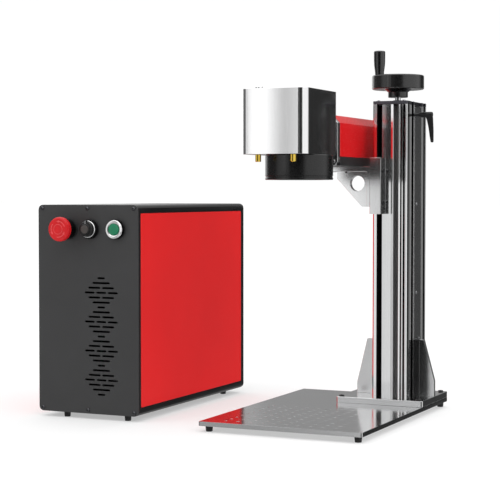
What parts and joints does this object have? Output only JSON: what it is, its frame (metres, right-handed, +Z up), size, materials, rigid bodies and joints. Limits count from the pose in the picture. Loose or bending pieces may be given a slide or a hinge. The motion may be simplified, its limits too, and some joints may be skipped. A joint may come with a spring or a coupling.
{
  "type": "laser engraver",
  "caption": "Split fibre laser engraver: red and black control cabinet beside a lifting column stand with a hand wheel, scan head and threaded base plate.",
  "frame": {"origin": "centre of the bounding box's base, on the floor between the cabinet and the stand", "axes": "+Z up, -Y the front with the controls, +X towards the stand"},
  "size_m": [0.5834, 0.4648, 0.6015],
  "materials": {
    "cabinet_black": "black powder coat",
    "panel_grey": "dark grey matt powder coat",
    "panel_red": "satin red paint",
    "rubber": "moulded black rubber",
    "estop_black": "black moulded plastic",
    "estop_red": "red moulded plastic",
    "chrome": "polished chrome plating",
    "knob_black": "black moulded plastic",
    "start_green": "green moulded plastic",
    "module_aluminium": "extruded, clear anodised",
    "psu_steel": "zinc-plated sheet steel",
    "board_green": "solder-masked circuit board",
    "fan_black": "black moulded plastic",
    "plate_aluminium": "milled, satin anodised",
    "column_aluminium": "extruded, brushed and anodised",
    "cap_dark": "black anodised",
    "bracket_aluminium": "milled, satin anodised",
    "screw_steel": "turned steel",
    "brass": "turned brass",
    "housing_black": "black anodised",
    "housing_red": "satin red anodised",
    "head_metal": "polished satin aluminium",
    "motor_black": "black anodised",
    "mirror": "gold-coated scan mirror",
    "lens_black": "black anodised, semi-gloss",
    "lens_glass": "coated optical glass",
    "wheel_black": "black phenolic plastic"
  },
  "bodies": {
    "machine": {"base_foot_1": "rubber", "base_foot_2": "rubber", "base_foot_3": "rubber", "base_foot_4": "rubber", "base_plate": "plate_aluminium", "cabinet_foot_1": "rubber", "cabinet_foot_2": "rubber", "cabinet_foot_3": "rubber", "cabinet_foot_4": "rubber", "cabinet_shell": "cabinet_black", "column": "column_aluminium", "column_cap": "cap_dark", "column_plate": "plate_aluminium", "control_board": "board_green", "estop_collar": "estop_black", "fan_frame": "fan_black", "fibre_outlet": "screw_steel", "front_panel": "panel_grey", "gusset_left": "bracket_aluminium", "gusset_right": "bracket_aluminium", "laser_source": "module_aluminium", "lower_bearing": "cap_dark", "power_inlet": "fan_black", "power_supply": "psu_steel", "rear_panel": "panel_grey", "selector_bezel": "chrome", "side_cover": "bracket_aluminium", "side_panel_left": "panel_red", "side_panel_right": "panel_red", "start_bezel": "chrome", "upper_bearing": "screw_steel"},
    "estop": {"estop_button": "estop_red"},
    "selector": {"selector_knob": "knob_black"},
    "start": {"start_button": "start_green"},
    "fan": {"fan_rotor": "fan_black"},
    "power_switch": {"power_switch": "estop_red"},
    "handwheel": {"handwheel": "wheel_black", "lead_screw": "screw_steel"},
    "crank_handle": {"crank_handle": "wheel_black"},
    "clamp_lever": {"clamp_lever": "wheel_black", "clamp_stud": "screw_steel"},
    "carriage": {"saddle": "bracket_aluminium", "lead_nut": "brass", "arm_bracket": "bracket_aluminium", "housing_tray": "housing_black", "housing_cover": "housing_red", "housing_rear": "housing_black", "adapter_plate": "head_metal", "fibre_gland": "screw_steel", "beam_expander": "module_aluminium", "galvo_head": "head_metal", "galvo_motor_x": "motor_black", "galvo_motor_y": "motor_black", "lens_barrel": "lens_black", "lens_glass": "lens_glass", "pointer_left": "brass", "pointer_right": "brass", "head_cap": "chrome"},
    "galvo_x": {"galvo_mirror_x": "mirror"},
    "galvo_y": {"galvo_mirror_y": "mirror"}
  },
  "joints": [
    {"name": "estop_press", "type": "slide", "parent": "machine", "child": "estop", "axis": [0, 1, 0], "range_m": [0, 0.006], "stiffness_N_per_m": 600},
    {"name": "selector_turn", "type": "hinge", "parent": "machine", "child": "selector", "pos_m": [-0.1933, -0.20085, 0.3082], "axis": [0, 1, 0], "range_deg": [-45, 45]},
    {"name": "start_press", "type": "slide", "parent": "machine", "child": "start", "axis": [0, 1, 0], "range_m": [0, 0.003], "stiffness_N_per_m": 500},
    {"name": "fan_spin", "type": "hinge", "parent": "machine", "child": "fan", "pos_m": [-0.2245, 0.20315, 0.256], "axis": [0, 1, 0], "continuous": true},
    {"name": "power_switch_rock", "type": "hinge", "parent": "machine", "child": "power_switch", "pos_m": [-0.1505, 0.21065, 0.092], "axis": [1, 0, 0], "range_deg": [-24, 0]},
    {"name": "handwheel_turn", "type": "hinge", "parent": "machine", "child": "handwheel", "pos_m": [0.2325, 0.08615, 0.549], "axis": [0, 0, 1], "range_deg": [-19440, 4320]},
    {"name": "crank_handle_spin", "type": "hinge", "parent": "handwheel", "child": "crank_handle", "pos_m": [0.2036, 0.07615, 0.58], "axis": [0, 0, 1], "continuous": true},
    {"name": "carriage_lift", "type": "slide", "parent": "machine", "child": "carriage", "axis": [0, 0, 1], "range_m": [-0.27, 0.06]},
    {"name": "clamp_lever_turn", "type": "hinge", "parent": "machine", "child": "clamp_lever", "pos_m": [0.2785, 0.09115, 0.4952], "axis": [1, 0, 0], "range_deg": [-60, 60]},
    {"name": "galvo_x_turn", "type": "hinge", "parent": "carriage", "child": "galvo_x", "pos_m": [0.1155, -0.12575, 0.47], "axis": [0, 0, 1], "range_deg": [-12, 12]},
    {"name": "galvo_y_turn", "type": "hinge", "parent": "carriage", "child": "galvo_y", "pos_m": [0.1438, -0.12585, 0.47], "axis": [0, 1, 0], "range_deg": [-12, 12]}
  ],
  "couplings": [
    {"joint": "handwheel_turn", "follows": "carriage_lift", "rad_per_m": 1256.6}
  ]
}
